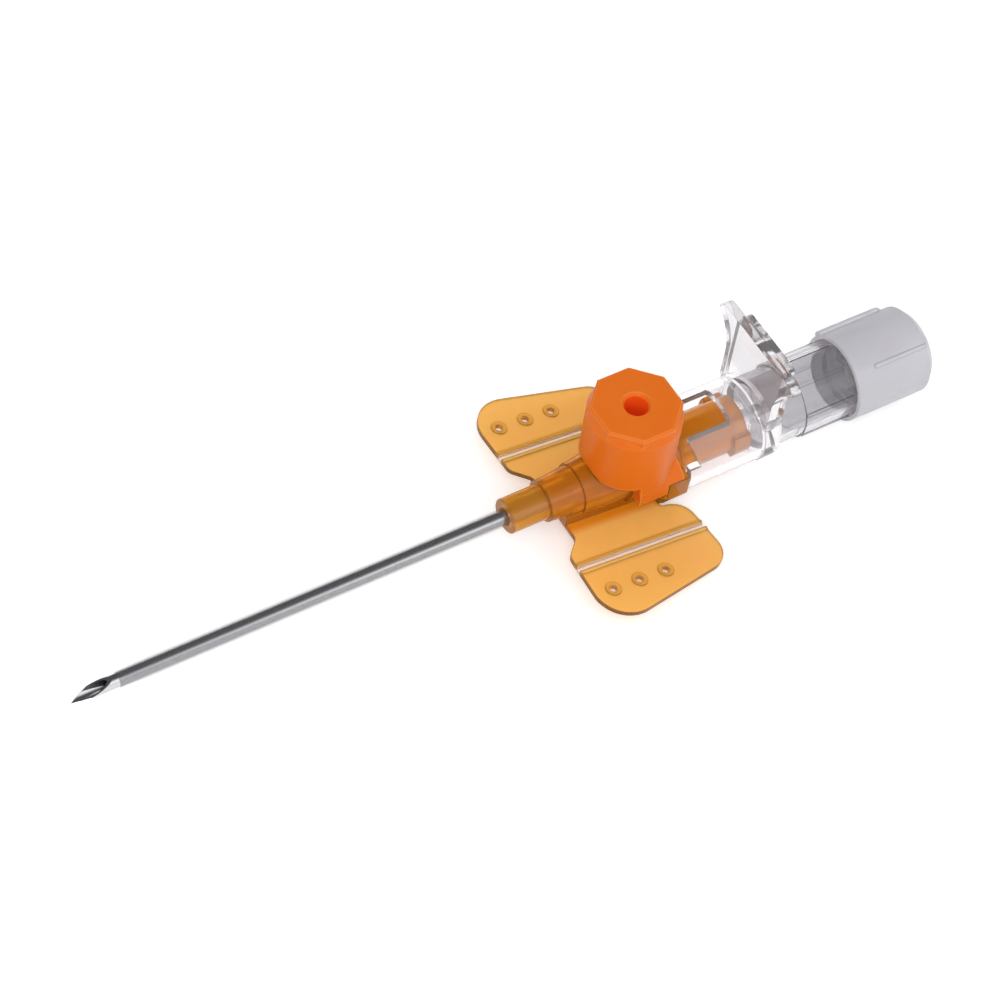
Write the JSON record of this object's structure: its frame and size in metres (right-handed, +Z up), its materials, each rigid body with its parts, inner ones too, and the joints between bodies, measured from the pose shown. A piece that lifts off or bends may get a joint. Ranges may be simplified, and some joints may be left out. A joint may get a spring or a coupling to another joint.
{
  "type": "winged intravenous cannula with injection port",
  "caption": "Intravenous cannula: steel needle in a clear catheter, amber winged hub with capped injection port, clear needle hub with grip plate and white plug.",
  "frame": {"origin": "centre of the hub nose's front face, on the needle axis", "axes": "+X back along the needle towards the flash plug, +Z up through the injection port, +Y to the left wing seen from the needle tip"},
  "size_m": [0.1139, 0.0344, 0.0194],
  "materials": {
    "steel": "polished",
    "clear_tube": "clear gloss",
    "amber_hub": "translucent gloss",
    "orange_cap": "satin",
    "clear_hub": "clear gloss",
    "white_plug": "satin translucent",
    "silicone": "matt",
    "filter": "porous"
  },
  "bodies": {
    "cannula": {"catheter_tube": "clear_tube", "catheter_ferrule": "steel", "catheter_hub": "amber_hub", "port_valve": "silicone", "cap_clip": "orange_cap"},
    "cap": {"port_cap": "orange_cap"},
    "needle_unit": {"needle": "steel", "needle_hub": "clear_hub"},
    "plug": {"flash_plug": "white_plug", "flash_filter": "filter"}
  },
  "joints": [
    {"name": "needle_withdraw", "type": "slide", "parent": "cannula", "child": "needle_unit", "axis": [1, 0, 0], "range_m": [0, 0.092]},
    {"name": "cap_hinge", "type": "hinge", "parent": "cannula", "child": "cap", "pos_m": [0.0214, 0, 0.00565], "axis": [0, 1, 0], "range_deg": [0, 75]},
    {"name": "plug_pull", "type": "slide", "parent": "needle_unit", "child": "plug", "axis": [1, 0, 0], "range_m": [0, 0.015]}
  ]
}
